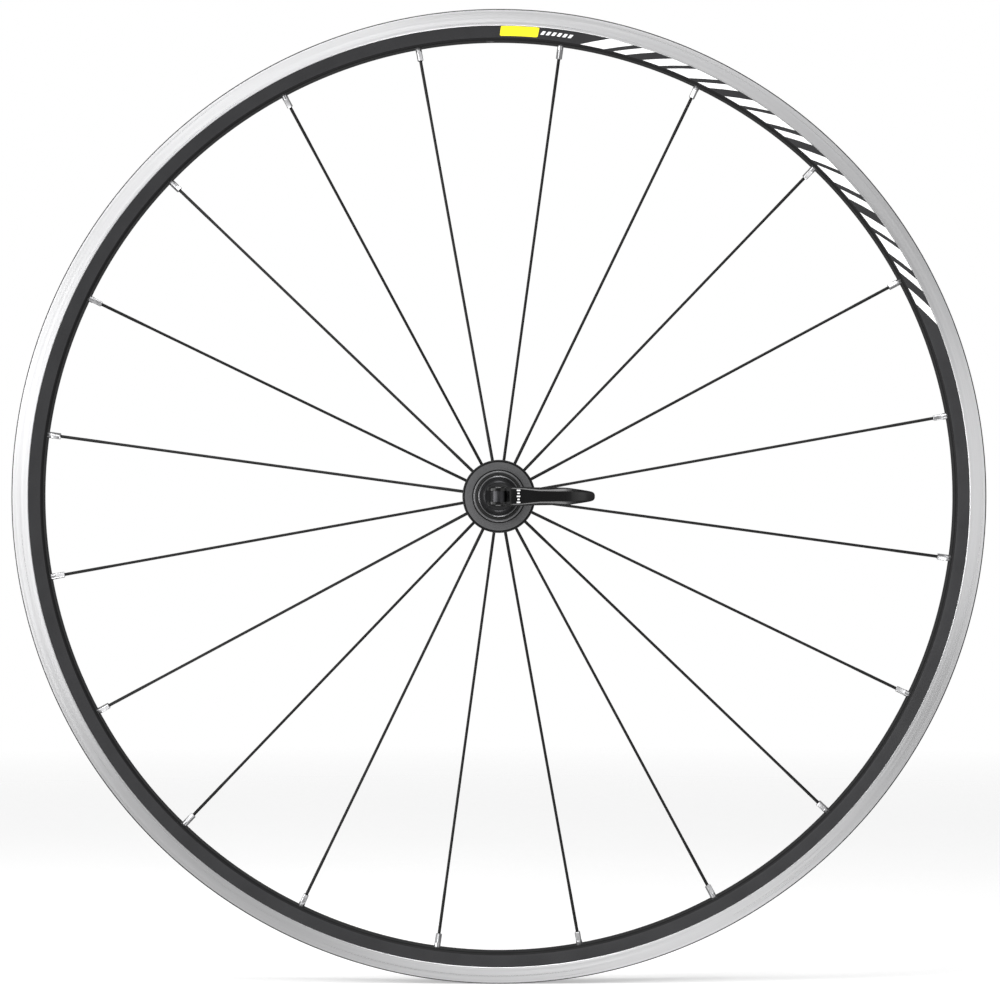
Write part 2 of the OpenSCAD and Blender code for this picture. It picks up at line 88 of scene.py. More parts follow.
# The wheel's turn in the photograph, in degrees, the seat of a spoke's head, how far beside the rim's
# middle the spoke meets it, its tilt in radians, how far its nipple stands out of the rim, and the
# degrees that each nipple is turned on from the one before
WHEEL_TURN = -1.2
SPOKES = 20
HEAD_R = 20.0
HEAD_Y = 35.6
RIM_OFFSET = 1.2
TILT = math.atan((HEAD_Y - RIM_OFFSET) / (FLOOR_R - HEAD_R))
SPOKE_RUN = (FLOOR_R - HEAD_R) / math.cos(TILT)
NIPPLE_OUT = 10.7
NIPPLE_TURN = 37


# ---------------------------------------------------------------- mesh helpers


def arc(centre, radius, start, end, steps):
    """Points of an arc in the plane, from one angle in degrees to another."""
    made = []
    for i in range(steps + 1):
        a = math.radians(start + (end - start) * i / steps)
        made.append((centre[0] + radius * math.cos(a), centre[1] + radius * math.sin(a)))
    return made


def rounded(outline, steps=4):
    """A closed outline of (x, y, corner radius) with its corners turned into arcs."""
    made = []
    count = len(outline)
    for i, (x, y, r) in enumerate(outline):
        here = Vector((x, y))
        if r <= 0:
            made.append((x, y))
            continue
        before = Vector(outline[i - 1][:2]) - here
        after = Vector(outline[(i + 1) % count][:2]) - here
        half_angle = before.angle(after) / 2
        setback = min(r / math.tan(half_angle), 0.49 * before.length, 0.49 * after.length)
        p = here + before.normalized() * setback
        q = here + after.normalized() * setback
        for k in range(steps + 1):
            t = k / steps
            made.append(tuple((1 - t) ** 2 * p + 2 * t * (1 - t) * here + t * t * q))
    return made


def smooth(points, steps=6):
    """A Catmull-Rom curve through the points, in any dimension, with steps points to a span."""
    made = []
    last = len(points) - 1
    for i in range(last):
        a, b, c, d = (Vector(points[k]) for k in (max(i - 1, 0), i, i + 1, min(i + 2, last)))
        for k in range(steps):
            t = k / steps
            p = 2 * b + (c - a) * t + (2 * a - 5 * b + 4 * c - d) * t * t
            p += (3 * b - a - 3 * c + d) * t ** 3
            made.append(tuple(0.5 * p))
    made.append(tuple(points[last]))
    return made


def along(table, x):
    """The value at x of a curve given as rising (x, value) points."""
    if x <= table[0][0]:
        return table[0][1]
    for (x0, v0), (x1, v1) in zip(table, table[1:]):
        if x <= x1:
            return v0 + (v1 - v0) * (x - x0) / (x1 - x0)
    return table[-1][1]


def make(name, points, faces, sharp=35.0):
    """An object from points in millimetres, shaded smooth but for edges sharper than the angle."""
    mesh = bpy.data.meshes.new(name)
    mesh.from_pydata([Vector(p) * MM for p in points], [], faces)
    work = bmesh.new()
    work.from_mesh(mesh)
    bmesh.ops.remove_doubles(work, verts=work.verts, dist=WELD)
    bmesh.ops.recalc_face_normals(work, faces=work.faces)
    work.to_mesh(mesh)
    work.free()
    shade(mesh, sharp)
    return linked(name, mesh)


def linked(name, data):
    """A new object with this data, in the scene."""
    made = bpy.data.objects.new(name, data)
    bpy.context.scene.collection.objects.link(made)
    return made


def shade(mesh, sharp=35.0):
    """Shades a mesh smooth but for edges sharper than the angle."""
    mesh.polygons.foreach_set("use_smooth", [True] * len(mesh.polygons))
    mesh.set_sharp_from_angle(angle=math.radians(sharp))


def turned(name, outline, steps=192):
    """A solid turned about the axle, from its closed outline of (radius, y)."""
    return make(name, *turned_parts(outline, steps))


def turned_parts(outline, steps, first=0):
    """Points and faces of a closed outline turned about the axle, its points counted from first."""
    points, faces = [], []
    count = len(outline)
    for i in range(steps):
        a = 2 * math.pi * i / steps
        for r, y in outline:
            points.append((r * math.sin(a), y, r * math.cos(a)))
    for i in range(steps):
        j = (i + 1) % steps
        for k in range(count):
            m = (k + 1) % count
            quad = [i * count + k, i * count + m, j * count + m, j * count + k]
            faces.append([first + v for v in quad])
    return points, faces


def lofted(name, rings, sharp=35.0, closed_ends=True):
    """A solid through rings of points, each ring with as many points as the next.

    Where its ends stay open, the first and the last ring are one and the same.
    """
    points = [p for ring in rings for p in ring]
    size = len(rings[0])
    faces = []
    for i in range(len(rings) - 1):
        for k in range(size):
            m = (k + 1) % size
            faces.append([i * size + k, i * size + m, (i + 1) * size + m, (i + 1) * size + k])
    if closed_ends:
        faces.append(list(range(size)))
        faces.append([(len(rings) - 1) * size + k for k in range(size)])
    return make(name, points, faces, sharp)


def placed(name, source, matrix):
    """A copy of source's mesh moved by matrix, as an object of its own."""
    mesh = source.data.copy()
    mesh.transform(matrix)
    return linked(name, mesh)


def joined(name, parts):
    """One object from several; the parts are used up."""
    work = bmesh.new()
    materials = []
    for part in parts:
        part.data.transform(part.matrix_world)
        shift = len(materials)
        materials += list(part.data.materials)
        before = len(work.faces)
        work.from_mesh(part.data)
        work.faces.ensure_lookup_table()
        for f in work.faces[before:]:
            f.material_index += shift
    mesh = bpy.data.meshes.new(name)
    work.to_mesh(mesh)
    work.free()
    for m in materials:
        mesh.materials.append(m)
    for part in parts:
        bpy.data.objects.remove(part)
    return linked(name, mesh)


def combined(target, tool, operation):
    """The mesh of a boolean of target and tool; the tool is used up."""
    modifier = target.modifiers.new("combined", "BOOLEAN")
    modifier.operation = operation
    modifier.solver = "MANIFOLD"
    modifier.object = tool
    graph = bpy.context.evaluated_depsgraph_get()
    mesh = bpy.data.meshes.new_from_object(target.evaluated_get(graph))
    target.modifiers.clear()
    bpy.data.objects.remove(tool)
    return mesh


def cut(target, cutters, sharp=35.0):
    """Takes the cutters away from the target, and removes them."""
    tool = joined("cutter", cutters) if len(cutters) > 1 else cutters[0]
    mesh = combined(target, tool, "DIFFERENCE")
    mesh.name = target.data.name
    target.data = mesh
    shade(mesh, sharp)


def unite(name, first, second, sharp):
    """One closed solid from two overlapping ones, which are used up."""
    mesh = combined(first, second, "UNION")
    bpy.data.objects.remove(first)
    mesh.name = name
    shade(mesh, sharp)
    return linked(name, mesh)


def circle(radius, z, steps):
    """A ring of points about the Z axis."""
    angles = [2 * math.pi * k / steps for k in range(steps)]
    return [(radius * math.cos(a), radius * math.sin(a), z) for a in angles]


def rod_cutter(radius, start, end, steps=32):
    """A plain cylinder along Z, for cutting."""
    return lofted("rod_cutter", [circle(radius, z, steps) for z in (start, end)])


def box_cutter(low, high):
    """A plain box between two corners, for cutting."""
    xs, ys, zs = zip(low, high)
    points = [(x, y, z) for x in xs for y in ys for z in zs]
    faces = [[0, 1, 3, 2], [4, 6, 7, 5], [0, 4, 5, 1], [2, 3, 7, 6], [0, 2, 6, 4], [1, 5, 7, 3]]
    return make("box_cutter", points, faces)


def clock(angle):
    """A turn about the axle, clockwise as seen from the lever's side."""
    return Matrix.Rotation(math.radians(angle), 4, "Y")


def spoke_side(i):
    """The side of the hub that spoke i starts from: 1 is the nut's, -1 the lever's."""
    return 1 if i % 2 == 1 else -1


def spoke_frame(i):
    """Where spoke i stands: its head's seat at the origin and the spoke along +Z, in metres."""
    side = spoke_side(i)
    turn = clock(WHEEL_TURN + (i - 0.5) * 360 / SPOKES)
    seat = Matrix.Translation(Vector((0, side * HEAD_Y, HEAD_R)) * MM)
    return turn @ seat @ Matrix.Rotation(side * TILT, 4, "X")


def on_side(outline, side):
    """An outline of (radius, y) drawn for the right, or its mirror image for the left."""
    return outline if side > 0 else [(r, -y) for r, y in reversed(outline)]


def both_halves(half):
    """A closed outline from its half at y >= 0; with no point at y = 0 a straight run crosses there."""
    return half + [(r, -y) for r, y in reversed(half) if y > 1e-6]


# ---------------------------------------------------------------- materials


class Material:
    """A node material with one Principled shader, and short ways to add detail to it."""

    def __init__(self, name, colour, roughness, metallic=0.0, **sockets):
        self.material = bpy.data.materials.new(name)
        self.material.use_nodes = True
        self.tree = self.material.node_tree
        self.shader = self.tree.nodes["Principled BSDF"]
        self.colour = colour
        self.bump_out = None
        self.set("Base Color", (*colour, 1))
        self.set("Roughness", roughness)
        self.set("Metallic", metallic)
        for socket, value in sockets.items():
            self.set(socket.replace("_", " "), value)

    def set(self, socket, value):
        self.shader.inputs[socket].default_value = value

    def node(self, kind, **settings):
        made = self.tree.nodes.new(kind)
        for key, value in settings.items():
            setattr(made, key, value)
        return made

    def link(self, out, into):
        self.tree.links.new(out, into)

    def place(self, scale=(1, 1, 1)):
        """The object's own coordinates, in metres, stretched by scale."""
        here = self.node("ShaderNodeTexCoord")
        stretch = self.node("ShaderNodeMapping", vector_type="POINT")
        stretch.inputs["Scale"].default_value = scale
        self.link(here.outputs["Object"], stretch.inputs["Vector"])
        return stretch.outputs["Vector"]

    def lathe_place(self, across, around):
        """Coordinates that run fast across the turning marks and slowly along them."""
        here = self.node("ShaderNodeTexCoord")
        split = self.node("ShaderNodeSeparateXYZ")
        self.link(here.outputs["Object"], split.inputs[0])
        flat = self.node("ShaderNodeCombineXYZ")
        self.link(split.outputs["X"], flat.inputs["X"])
        self.link(split.outputs["Z"], flat.inputs["Z"])
        length = self.node("ShaderNodeVectorMath", operation="LENGTH")
        self.link(flat.outputs[0], length.inputs[0])
        total = self.node("ShaderNodeMath", operation="ADD")
        self.link(length.outputs["Value"], total.inputs[0])
        self.link(split.outputs["Y"], total.inputs[1])
        fast = self.node("ShaderNodeMath", operation="MULTIPLY")
        fast.inputs[1].default_value = across
        self.link(total.outputs[0], fast.inputs[0])
        slow = self.node("ShaderNodeVectorMath", operation="SCALE")
        slow.inputs["Scale"].default_value = around
        self.link(flat.outputs[0], slow.inputs[0])
        stretched = self.node("ShaderNodeCombineXYZ")
        slow_split = self.node("ShaderNodeSeparateXYZ")
        self.link(slow.outputs[0], slow_split.inputs[0])
        self.link(slow_split.outputs["X"], stretched.inputs["X"])
        self.link(slow_split.outputs["Z"], stretched.inputs["Z"])
        self.link(fast.outputs[0], stretched.inputs["Y"])
        return stretched.outputs[0]

    def noise(self, vector, scale, detail, rough):
        """Noise from 0 to 1; scale is its grains to a metre of the coordinates."""
        made = self.node("ShaderNodeTexNoise")
        made.inputs["Scale"].default_value = scale
        made.inputs["Detail"].default_value = detail
        made.inputs["Roughness"].default_value = rough
        self.link(vector, made.inputs["Vector"])
        return made.outputs["Fac"]

    def ramp(self, value, low, high, at=(0.3, 0.7)):
        """The value turned into a range: low where it is at[0], high where it is at[1]."""
        made = self.node("ShaderNodeMapRange")
        made.inputs["From Min"].default_value = at[0]
        made.inputs["From Max"].default_value = at[1]
        made.inputs["To Min"].default_value = low
        made.inputs["To Max"].default_value = high
        self.link(value, made.inputs["Value"])
        return made.outputs["Result"]

    def vary_roughness(self, value, low, high):
        """Makes the roughness run between low and high."""
        self.link(self.ramp(value, low, high), self.shader.inputs["Roughness"])

    def vary_colour(self, value, low, high):
        """Multiplies the base colour by between low and high."""
        shade_of = self.node("ShaderNodeVectorMath", operation="SCALE")
        shade_of.inputs[0].default_value = self.colour
        self.link(self.ramp(value, low, high), shade_of.inputs["Scale"])
        self.link(shade_of.outputs[0], self.shader.inputs["Base Color"])

    def bump(self, value, depth):
        """Relief of the given depth in millimetres; more calls lie on top of one another."""
        made = self.node("ShaderNodeBump")
        made.inputs["Distance"].default_value = depth * MM
        made.inputs["Strength"].default_value = 1.0
        self.link(value, made.inputs["Height"])
        if self.bump_out is not None:
            self.link(self.bump_out, made.inputs["Normal"])
        self.bump_out = made.outputs["Normal"]
        self.link(self.bump_out, self.shader.inputs["Normal"])

    def turned_about_axle(self):
        """Draws the anisotropic highlight out as turning marks about the axle do."""
        self.set("Anisotropic Rotation", 0.25)
        made = self.node("ShaderNodeTangent", direction_type="RADIAL", axis="Y")
        self.link(made.outputs["Tangent"], self.shader.inputs["Tangent"])


def brake_track_material():
    """Bare aluminium turned in fine rings, with slightly uneven bands."""
    m = Material("machined_track", (0.86, 0.86, 0.87), 0.3, metallic=1.0, Anisotropic=0.8)
    rings = m.noise(m.lathe_place(9000, 6), 1.0, 3, 0.7)
    bands = m.noise(m.lathe_place(700, 4), 1.0, 3, 0.6)
    m.vary_roughness(bands, 0.26, 0.36)
    m.vary_colour(rings, 0.93, 1.03)
    m.bump(rings, 0.0008)
    m.turned_about_axle()
    return m.material


def anodised_material(name, colour, roughness, grain=0.004):
    """Satin black anodising over blasted metal."""
    m = Material(name, colour, roughness, metallic=0.6, Specular_IOR_Level=0.5)
    fine = m.noise(m.place(), 5200, 3, 0.6)
    cloud = m.noise(m.place(), 60, 3, 0.5)
    m.vary_roughness(cloud, roughness - 0.04, roughness + 0.05)
    m.vary_colour(fine, 0.8, 1.2)
    m.bump(fine, grain)
    return m.material


def turned_material(name, colour, roughness, metallic=1.0, lines=3200):
    """Metal with turning marks about the axle."""
    m = Material(name, colour, roughness, metallic, Anisotropic=0.5)
    marks = m.noise(m.lathe_place(lines, 8), 1.0, 3, 0.65)
    m.vary_roughness(marks, roughness - 0.05, roughness + 0.07)
    m.vary_colour(marks, 0.85, 1.08)
    m.bump(marks, 0.004)
    m.turned_about_axle()
    return m.material


def painted_material(name, colour, roughness, coat, depth):
    """Smooth black paint with a faint orange peel."""
    m = Material(name, colour, roughness, Coat_Weight=coat, Coat_Roughness=0.12, Specular_IOR_Level=0.25)
    peel = m.noise(m.place(), 700, 2, 0.5)
    smear = m.noise(m.place(), 90, 4, 0.6)
    m.vary_roughness(smear, roughness - 0.04, roughness + 0.06)
    m.vary_colour(smear, 0.9, 1.15)
    m.bump(peel, depth)
    return m.material


def plastic_material(name, colour, roughness, grain=2600, depth=0.02):
    """Moulded plastic or rubber with a fine spark-eroded grain."""
    m = Material(name, colour, roughness, Specular_IOR_Level=0.4)
    fine = m.noise(m.place(), grain, 4, 0.6)
    patch = m.noise(m.place(), 120, 3, 0.5)
    m.vary_roughness(patch, roughness - 0.06, roughness + 0.08)
    m.vary_colour(fine, 0.8, 1.25)
    m.bump(fine, depth)
    return m.material


def plated_material(name, colour, roughness):
    """Plated metal, bright, with faint handling marks."""
    m = Material(name, colour, roughness, metallic=1.0)
    marks = m.noise(m.place((1, 1, 0.2)), 1500, 4, 0.6)
    cloud = m.noise(m.place(), 250, 3, 0.5)
    m.vary_roughness(cloud, roughness - 0.05, roughness + 0.1)
    m.vary_colour(marks, 0.88, 1.05)
    m.bump(marks, 0.004)
    return m.material


def film_material(name, colour):
    """Printed film, slightly worn and not quite even."""
    m = Material(name, colour, 0.35, Coat_Weight=0.2, Coat_Roughness=0.2)
    mottle = m.noise(m.place(), 900, 4, 0.6)
    m.vary_colour(mottle, 0.94, 1.02)
    m.vary_roughness(mottle, 0.28, 0.45)
    m.bump(mottle, 0.006)
    return m.material


TRACK = brake_track_material()
RIM_BLACK = anodised_material("rim_black", (0.04, 0.04, 0.042), 0.36)
# Painted shade: the inner edge is darker and duller than the anodised walls, standing in for the shade
# where its rounded edge turns away
RIM_EDGE_SHADE = anodised_material("rim_inner_edge_shade", (0.008, 0.008, 0.0085), 0.6)
# Painted shade: the bare aluminium inside the closed cavity is given a dark grey that stands in for the
# shade inside it
RIM_RAW_SHADE = turned_material("rim_raw_shade", (0.2, 0.2, 0.205), 0.5)
HUB_GREY = anodised_material("hub_black", (0.12, 0.12, 0.123), 0.42, grain=0.006)
CAP_BLACK = turned_material("cap_black", (0.035, 0.035, 0.037), 0.34, metallic=0.8, lines=2400)
# Painted highlight: the cap's chamfered outer edge is a lighter metal grey, standing in for the light
# ring it catches
CAP_EDGE_HIGHLIGHT = turned_material("cap_edge_highlight", (0.22, 0.22, 0.225), 0.35, metallic=0.9, lines=2400)
# Painted shade: near-black on the flange's rounded rim, where it turns away, and in the groove at the
# foot of its boss
HUB_EDGE_SHADE = anodised_material("hub_edge_shade", (0.006, 0.006, 0.0065), 0.3, grain=0.002)
SPOKE_BLACK = painted_material("spoke_black", (0.003, 0.003, 0.003), 0.45, coat=0.0, depth=0.002)
NIPPLE_METAL = plated_material("nipple_plate", (0.6, 0.6, 0.61), 0.3)
STEEL = plated_material("plated_steel", (0.72, 0.72, 0.73), 0.25)
RACE_STEEL = turned_material("race_steel", (0.75, 0.75, 0.76), 0.18)
AXLE_ALLOY = turned_material("axle_alloy", (0.72, 0.72, 0.73), 0.3)
BLACK_STEEL = plated_material("black_steel", (0.05, 0.05, 0.053), 0.35)
LEVER_BLACK = painted_material("lever_black", (0.002, 0.002, 0.0022), 0.2, coat=0.2, depth=0.001)
PLASTIC = plastic_material("black_plastic", (0.012, 0.012, 0.013), 0.5)
RUBBER = plastic_material("black_rubber", (0.008, 0.008, 0.008), 0.62, grain=1800, depth=0.03)
TAPE = plastic_material("rim_tape_cloth", (0.03, 0.03, 0.032), 0.6, grain=1500, depth=0.05)
WHITE_FILM = film_material("white_film", (0.86, 0.86, 0.86))
YELLOW_FILM = film_material("yellow_film", (0.93, 0.8, 0.012))
CAGE_BRASS = plated_material("cage_brass", (0.75, 0.55, 0.22), 0.3)
NYLON = plastic_material("lock_nylon", (0.02, 0.07, 0.5), 0.4)


def paint(mesh, *materials):
    """Gives a mesh these materials and no others."""
    mesh.materials.clear()
    for material in materials:
        mesh.materials.append(material)


def paint_zones(mesh, materials, zone):
    """Gives each face the material whose number zone(radius, y) returns for its centre."""
    paint(mesh, *materials)
    for face in mesh.polygons:
        c = face.center / MM
        face.material_index = int(zone(math.hypot(c.x, c.z), c.y))


def finish_piece(piece, body, nodes, material=None):
    """Puts a new piece in the place of its CAD nodes; without a material it keeps what it has."""
    if material is not None:
        paint(piece.data, material)
    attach(piece, body)
    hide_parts(*nodes)


# ---------------------------------------------------------------- rim


def wall_y(r):
    """Half width of the painted wall at radius r."""
    return WALL_TOP_Y - (WALL_TOP_R - r) * WALL_SLOPE


def rim_half():
    """The rim's outer outline from the middle of the inner edge to the middle of the well."""
    corner_r, edge_r, hook_r = 2.6, 0.8, 1.1
    slope = math.degrees(math.atan(WALL_SLOPE))
    tangent_r = INNER_R + corner_r - corner_r * math.sin(math.radians(slope))
    centre = (INNER_R + corner_r, wall_y(tangent_r) - corner_r * math.cos(math.radians(slope)))
    half = [(INNER_R, 0), (INNER_R, 2.2), (INNER_R, 4.2)]
    half += arc(centre, corner_r, 180, 90 + slope, 12)
    half += [(r, wall_y(r)) for r in (INNER_R + 4, INNER_R + 6, WALL_TOP_R - 0.4)]
    half += [(WALL_TOP_R, WALL_TOP_Y), (WALL_TOP_R + 0.06, WALL_TOP_Y + 0.02)]
    half += [(TRACK_R - 0.03, RIM_HALF_W - 0.02), (TRACK_R, RIM_HALF_W)]
    half += [(TRACK_R + step * 2.2, RIM_HALF_W) for step in (1, 2, 3, 4)]
    half += arc((RIM_R - edge_r, RIM_HALF_W - edge_r), edge_r, 90, 0, 8)
    half += arc((RIM_R - hook_r, CHANNEL_HALF_W + 0.4), hook_r, 0, -150, 14)
    half += [(RIM_R - 2.6, CHANNEL_HALF_W), (SEAT_R + 0.9, CHANNEL_HALF_W)]
    half += [(SEAT_R + 0.35, CHANNEL_HALF_W - 0.2), (SEAT_R + 0.05, CHANNEL_HALF_W - 0.7)]
    half += [(SEAT_R, CHANNEL_HALF_W - 1.6), (WELL_R + 0.2, CHANNEL_HALF_W - 3.2)]
    half += [(WELL_R, CHANNEL_HALF_W - 3.6), (WELL_R, 0)]
    return half


def cavity_half():
    """The outline of the rim's closed cavity, from the middle of its floor to the middle of its top."""
    side_t, track_t, top_t = 1.45, 1.7, 1.5
    top_r = WELL_R - top_t
    return [
        (FLOOR_R, 0), (FLOOR_R, 6.7), (FLOOR_R + 0.8, wall_y(FLOOR_R + 0.8) - side_t),
        (WALL_TOP_R, wall_y(WALL_TOP_R) - side_t), (TRACK_R + 0.2, RIM_HALF_W - track_t),
        (SEAT_R - 2.1, RIM_HALF_W - track_t), (SEAT_R - top_t, CHANNEL_HALF_W + 0.2),
        (SEAT_R - top_t, CHANNEL_HALF_W - 1.5), (top_r, CHANNEL_HALF_W - 3.9), (top_r, 0)]


def rim_zone(r, y):
    """The rim's finish at a place: 0 anodised, 1 turned track, 2 bare cavity darkened as painted shade,
    3 inner edge painted darker still as shade.
    """
    if abs(y) > WALL_TOP_Y + 0.005 and TRACK_R - 0.35 < r < RIM_R - 0.75:
        return 1
    if FLOOR_R - 0.1 < r < SEAT_R - 1.4 and abs(y) < wall_y(min(r, WALL_TOP_R)) - 1:
        return 2
    return 3 if r < INNER_R + 1.6 else 0


def build_rim():
    """The hollow rim, with holes for the nipples, for the tool that turns them and for the valve."""
    steps = 720
    nipple_hole_r, access_hole_r, valve_hole_r = 2.25, 4.3, 3.25
    outer_points, outer_faces = turned_parts(both_halves(rim_half()), steps)
    inner_points, inner_faces = turned_parts(both_halves(cavity_half()), steps, len(outer_points))
    rim = make("rim_extrusion", outer_points + inner_points, outer_faces + inner_faces)
    cutters = []
    nipple_hole = rod_cutter(nipple_hole_r, SPOKE_RUN - 8, SPOKE_RUN + 2.5)
    access_hole = rod_cutter(access_hole_r, SPOKE_RUN + 5, SPOKE_RUN + 13)
    valve_hole = rod_cutter(valve_hole_r, INNER_R - 4, WELL_R + 4, 48)
    for i in range(1, SPOKES + 1):
        cutters.append(placed("hole", nipple_hole, spoke_frame(i)))
        cutters.append(placed("hole", access_hole, spoke_frame(i)))
    cutters.append(placed("hole", valve_hole, clock(WHEEL_TURN)))
    for tool in (nipple_hole, access_hole, valve_hole):
        bpy.data.objects.remove(tool)
    cut(rim, cutters, 25.0)
    paint_zones(rim.data, (RIM_BLACK, TRACK, RIM_RAW_SHADE, RIM_EDGE_SHADE), rim_zone)
    finish_piece(rim, "wheel", ["rim"])


def build_tape():
    """Woven tape in the well, with its lower side on the rim and a hole for the valve."""
    lift, thick, valve_hole_r = 0.02, 0.5, 4.0
    bed = [(SEAT_R, CHANNEL_HALF_W - 1.1), (SEAT_R, CHANNEL_HALF_W - 1.6)]
    bed += [(WELL_R + 0.2, CHANNEL_HALF_W - 3.2), (WELL_R, CHANNEL_HALF_W - 3.6), (WELL_R, 0)]
    lower = [(r + lift, y) for r, y in reversed(bed)]
    upper = [(r + lift + thick, y) for r, y in bed]
    tape = turned("rim_tape_band", both_halves(lower + upper), 480)
    hole = rod_cutter(valve_hole_r, WELL_R - 2, WELL_R + 3, 48)
    hole.data.transform(clock(WHEEL_TURN))
    cut(tape, [hole])
    finish_piece(tape, "wheel", ["rim_tape"], TAPE)


# ---------------------------------------------------------------- graphics on the black walls

# How far the film stands off the wall, so that the two never share a surface, and its thickness
FILM_GAP = 0.02
FILM_T = 0.06


def film_patch(start, span, lean, r0, r1, side, corner=0.2):
    """One patch of film on a wall, with rounded corners.

    It runs from radius r0 to r1 and spans an angle from start, counted from the valve hole, and it leans
    by the angle lean over its height.
    """
    corner_steps, column_angle = 6, 0.4
    turns = [math.radians(90 / corner_steps * k) for k in range(corner_steps + 1)]
    near = [corner * (1 - math.cos(a)) for a in turns]
    levels = [r0 + d for d in near] + [(r0 + r1) / 2] + [r1 - d for d in reversed(near)]
    columns = max(2, round(span / column_angle))
    points, faces = [], []
    for layer in (0, 1):
        for r in levels:
            depth = max(0.0, corner - min(r - r0, r1 - r))
            inset = math.degrees((corner - math.sqrt(corner ** 2 - depth ** 2)) / r)
            first = start + lean * (r - r0) / (r1 - r0) + inset
            for k in range(columns + 1):
                a = math.radians(first + (span - 2 * inset) * k / columns)
                x = r * math.sin(a)
                y = wall_y(r) + FILM_GAP + layer * FILM_T
                points.append((x if side < 0 else -x, side * y, r * math.cos(a)))
    rows = len(levels) - 1
    width = columns + 1
    size = len(levels) * width
    for i in range(rows):
        for k in range(columns):
            quad = [i * width + k, i * width + k + 1, (i + 1) * width + k + 1, (i + 1) * width + k]
            faces.append(quad)
            faces.append([size + v for v in reversed(quad)])
    border = list(range(width)) + [i * width + columns for i in range(1, rows + 1)]
    border += [rows * width + k for k in range(columns - 1, -1, -1)]
    border += [i * width for i in range(rows - 1, 0, -1)]
    for a, b in zip(border, border[1:] + border[:1]):
        faces.append([a, b, size + b, size + a])
    patch = make("film", points, faces, 30.0)
    patch.data.transform(clock(WHEEL_TURN))
    return patch


def build_graphics(side, name):
    """Plain leaning bars in a fixed rhythm, a plain label, and a short row of ticks between them."""
    bars, bars_start, bar_lean = 15, 11.4, 3.4
    rhythm = ((3.0, 1.2), (1.6, 2.2), (2.2, 1.0))  # the span of a bar and the gap after it
    r0, r1 = INNER_R + 1.9, WALL_TOP_R - 0.1
    ticks, ticks_start, tick_pitch, tick_span, tick_lean = 6, 6.3, 0.68, 0.4, 0.3
    tick_r0, tick_r1 = INNER_R + 4.6, INNER_R + 6.9
    label_start, label_span, label_lean, label_corner = 1.3, 4.7, 0.15, 0.9
    at = bars_start
    films = []
    for i in range(bars):
        span, gap = rhythm[i % len(rhythm)]
        films.append(film_patch(at, span, bar_lean, r0, r1, side))
        at += span + gap
    for i in range(ticks):
        start = ticks_start + tick_pitch * i
        films.append(film_patch(start, tick_span, tick_lean, tick_r0, tick_r1, side))
    graphic = joined(f"wall_graphic_{name}", films)
    shade(graphic.data)
    finish_piece(graphic, "wheel", [f"rim_graphic_{name}"], WHITE_FILM)
    label_r0, label_r1 = INNER_R + 2.7, WALL_TOP_R - 0.3
    label = film_patch(label_start, label_span, label_lean, label_r0, label_r1, side, label_corner)
    label.name = f"wall_label_{name}"
    finish_piece(label, "wheel", [f"rim_label_{name}"], YELLOW_FILM)


# ---------------------------------------------------------------- spokes and nipples


def spoke_mesh():
    """A butted spoke along Z, with its head below the origin and its end in the nipple."""
    end, mid = 1.0, 0.9
    outline = [(1.5, -2.6), (1.75, -2.52), (1.9, -2.3), (1.9, -0.6), (1.82, -0.46), (1.7, -0.4)]
    outline += [(1.12, -0.36), (end, -0.2), (end, 18), (mid + 0.03, 24), (mid, 27)]
    outline += [(mid, SPOKE_RUN - 45), (mid + 0.03, SPOKE_RUN - 42), (end, SPOKE_RUN - 36)]
    outline += [(end, SPOKE_RUN + 0.3), (end - 0.1, SPOKE_RUN + 0.4)]
    return lofted("spoke", [circle(r, z, 24) for r, z in outline])


def nipple_ring(z, radius, flat=None):
    """One ring of a nipple: round, or with four flats at the given half width."""
    steps = 48
    ring = []
    for k in range(steps):
        a = 2 * math.pi * (k + 0.5) / steps
        r = radius
        if flat is not None:
            r = min(radius, flat / max(abs(math.cos(a)), abs(math.sin(a))))
        ring.append((r * math.cos(a), r * math.sin(a), z))
    return ring


def nipple_mesh():
    """A nipple along Z: its squared end towards the hub, its round neck and its head in the rim."""
    flat, corner, body = 1.65, 2.05, 2.0
    bore, squared = 1.02, 6.2
    low = -NIPPLE_OUT
    top = squared - NIPPLE_OUT
    rings = [
        nipple_ring(low + 0.5, bore), nipple_ring(low, bore + 0.25),
        nipple_ring(low, corner - 0.5, flat - 0.35), nipple_ring(low + 0.08, corner - 0.3, flat - 0.15),
        nipple_ring(low + 0.35, corner - 0.05, flat), nipple_ring(top - 0.45, corner, flat),
        nipple_ring(top - 0.2, corner, flat + 0.12), nipple_ring(top, body),
        nipple_ring(top + 0.12, body), nipple_ring(-0.1, body), nipple_ring(0, body + 0.06),
        nipple_ring(0, 2.85), nipple_ring(0.12, 3.0), nipple_ring(1.0, 3.0),
        nipple_ring(1.7, 2.7), nipple_ring(2.2, 2.0), nipple_ring(2.4, bore + 0.2),
        nipple_ring(2.2, bore), nipple_ring(low + 0.5, bore)]
    return lofted("nipple", rings, 28.0, closed_ends=False)


def build_spokes():
    """All the spokes, each a copy of one wire in its own place."""
    spoke = spoke_mesh()
    for i in range(1, SPOKES + 1):
        piece = placed(f"spoke_wire_{i:02d}", spoke, spoke_frame(i))
        finish_piece(piece, "wheel", [f"spoke_{i:02d}"], SPOKE_BLACK)
    bpy.data.objects.remove(spoke)


